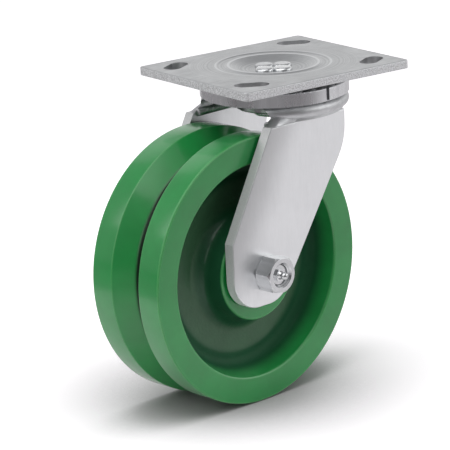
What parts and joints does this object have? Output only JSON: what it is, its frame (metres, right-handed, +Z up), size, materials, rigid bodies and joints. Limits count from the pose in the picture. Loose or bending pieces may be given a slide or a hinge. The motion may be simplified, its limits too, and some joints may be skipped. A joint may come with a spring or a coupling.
{
  "type": "swivel caster with V-groove wheel",
  "caption": "Heavy zinc plated swivel caster with a green iron V-groove wheel, a slotted top plate and a welded fork.",
  "frame": {"origin": "centre of the top plate's mounting face, on the swivel axis", "axes": "+Z up out of the mounting face, X along the plate's long side, the wheel trailing towards -X"},
  "size_m": [0.18, 0.1055, 0.1826],
  "materials": {
    "zinc_plate": "satin",
    "zinc_fork": "satin",
    "zinc_band": "satin",
    "zinc_fastener": "satin",
    "nipple_steel": "satin",
    "weld_metal": "satin",
    "bearing_steel": "satin",
    "washer_steel": "satin",
    "green_enamel": "satin"
  },
  "bodies": {
    "mount": {"top_plate": "zinc_plate", "kingpin": "zinc_fastener", "lower_race": "bearing_steel"},
    "upper_ring": {"upper_balls": "bearing_steel"},
    "lower_ring": {"lower_balls": "bearing_steel"},
    "yoke": {"crown": "zinc_fork", "dust_ring": "zinc_band", "near_leg": "zinc_fork", "far_leg": "zinc_fork", "leg_welds": "weld_metal", "axle_bolt": "zinc_fastener", "axle_nut": "zinc_fastener", "grease_nipple": "nipple_steel", "nipple_ball": "bearing_steel", "spanner_bushing": "bearing_steel", "near_thrust_washer": "washer_steel", "far_thrust_washer": "washer_steel"},
    "roller_set": {"rollers": "bearing_steel", "roller_cage": "bearing_steel"},
    "track_wheel": {"wheel": "green_enamel", "bearing_sleeve": "bearing_steel", "near_end_washer": "washer_steel", "far_end_washer": "washer_steel"}
  },
  "joints": [
    {"name": "swivel", "type": "hinge", "parent": "mount", "child": "yoke", "pos_m": [0, 0, -0.0158], "axis": [0, 0, 1], "continuous": true},
    {"name": "upper_orbit", "type": "hinge", "parent": "mount", "child": "upper_ring", "pos_m": [0, 0, -0.00707], "axis": [0, 0, 1], "continuous": true},
    {"name": "lower_orbit", "type": "hinge", "parent": "mount", "child": "lower_ring", "pos_m": [0, 0, -0.01843], "axis": [0, 0, 1], "continuous": true},
    {"name": "wheel_spin", "type": "hinge", "parent": "yoke", "child": "track_wheel", "pos_m": [-0.04402, -0.00583, -0.1064], "axis": [-0.1312, 0.9914, 0], "continuous": true},
    {"name": "roller_orbit", "type": "hinge", "parent": "yoke", "child": "roller_set", "pos_m": [-0.04402, -0.00583, -0.1064], "axis": [-0.1312, 0.9914, 0], "continuous": true}
  ],
  "couplings": [
    {"joint": "upper_orbit", "follows": "swivel", "ratio": 0.5},
    {"joint": "lower_orbit", "follows": "swivel", "ratio": 0.5},
    {"joint": "roller_orbit", "follows": "wheel_spin", "ratio": 0.601}
  ]
}
